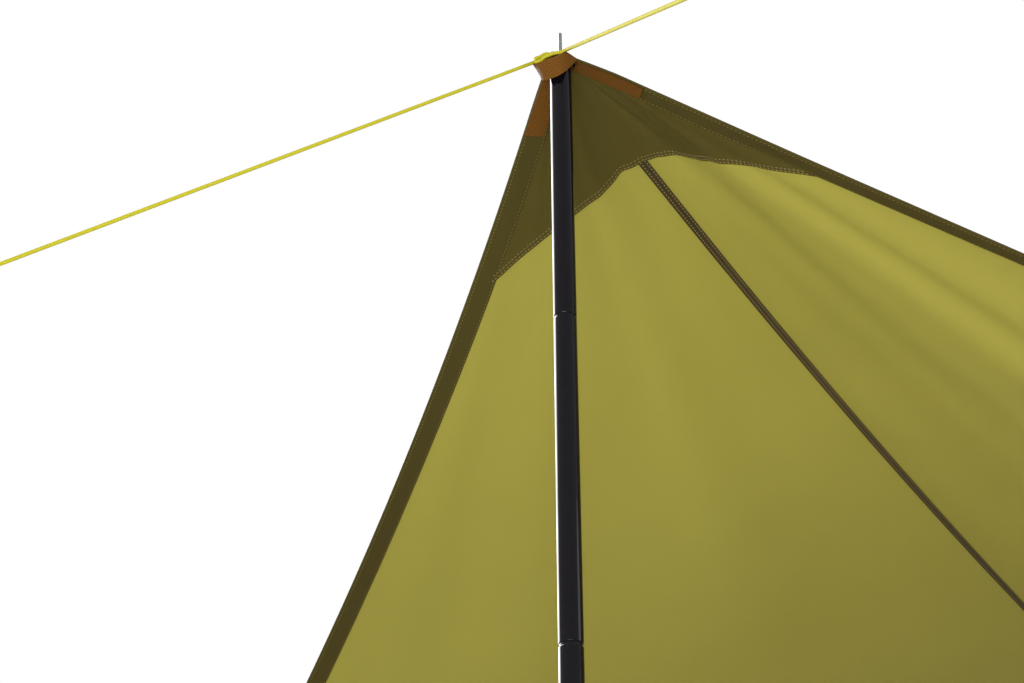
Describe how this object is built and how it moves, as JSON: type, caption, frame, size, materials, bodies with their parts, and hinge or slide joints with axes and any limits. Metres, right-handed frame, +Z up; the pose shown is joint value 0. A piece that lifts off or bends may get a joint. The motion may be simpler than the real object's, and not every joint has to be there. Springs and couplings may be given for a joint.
{
  "type": "camping tarp",
  "caption": "Ridge tarp shelter: a sewn fabric canopy stretched over two sectional steel poles, with webbing at its peaks and two guy ropes that tighten with sliding runners.",
  "frame": {"origin": "on the ground, midway between the feet of the two poles", "axes": "+Z up, +Y along the ridge from the near pole, which carries the guy ropes, to the far pole, +X to the right seen from the near pole"},
  "size_m": [3.532, 4.7651, 2.0724],
  "materials": {
    "canopy_fabric": "plain woven olive fabric",
    "patch_fabric": "dark olive reinforcement fabric",
    "binding_fabric": "dark olive woven tape",
    "webbing": "rust brown woven webbing",
    "pole_steel": "glossy black paint on steel tube",
    "pin_steel": "bare grey steel",
    "black_plastic": "moulded black plastic",
    "eyelet_metal": "black coated metal",
    "guy_rope": "yellow braided cord"
  },
  "bodies": {
    "tarp": {"canopy_left_panel": "canopy_fabric", "canopy_right_panel": "canopy_fabric", "ridge_seam_tape": "binding_fabric", "left_side_edge_binding": "binding_fabric", "right_side_edge_binding": "binding_fabric", "near_apex_patch": "patch_fabric", "near_apex_webbing": "webbing", "near_apex_eyelet": "eyelet_metal", "near_pole_foot": "black_plastic", "near_pole_plug": "black_plastic", "near_pole_pin": "pin_steel", "near_pole_section_1": "pole_steel", "near_pole_section_2": "pole_steel", "near_pole_section_3": "pole_steel", "near_pole_section_4": "pole_steel", "near_pole_section_5": "pole_steel", "near_left_corner_patch": "patch_fabric", "near_left_edge_binding": "binding_fabric", "near_left_corner_tab": "webbing", "near_left_corner_eyelet": "eyelet_metal", "near_right_corner_patch": "patch_fabric", "near_right_edge_binding": "binding_fabric", "near_right_corner_tab": "webbing", "near_right_corner_eyelet": "eyelet_metal", "far_apex_patch": "patch_fabric", "far_apex_webbing": "webbing", "far_apex_eyelet": "eyelet_metal", "far_pole_foot": "black_plastic", "far_pole_plug": "black_plastic", "far_pole_pin": "pin_steel", "far_pole_section_1": "pole_steel", "far_pole_section_2": "pole_steel", "far_pole_section_3": "pole_steel", "far_pole_section_4": "pole_steel", "far_pole_section_5": "pole_steel", "far_left_corner_patch": "patch_fabric", "far_left_edge_binding": "binding_fabric", "far_left_corner_tab": "webbing", "far_left_corner_eyelet": "eyelet_metal", "far_right_corner_patch": "patch_fabric", "far_right_edge_binding": "binding_fabric", "far_right_corner_tab": "webbing", "far_right_corner_eyelet": "eyelet_metal", "guy_rope_left": "guy_rope", "guy_rope_right": "guy_rope", "guy_rope_hitch": "guy_rope", "stopper_knot_left": "guy_rope", "stopper_knot_right": "guy_rope"},
    "runner_left": {"runner_left": "black_plastic"},
    "runner_right": {"runner_right": "black_plastic"}
  },
  "joints": [
    {"name": "runner_left_slide", "type": "slide", "parent": "tarp", "child": "runner_left", "axis": [-0.5773, -0.5978, -0.5563], "range_m": [-0.1, 0.06]},
    {"name": "runner_right_slide", "type": "slide", "parent": "tarp", "child": "runner_right", "axis": [0.5773, -0.5978, -0.5563], "range_m": [-0.1, 0.06]}
  ]
}
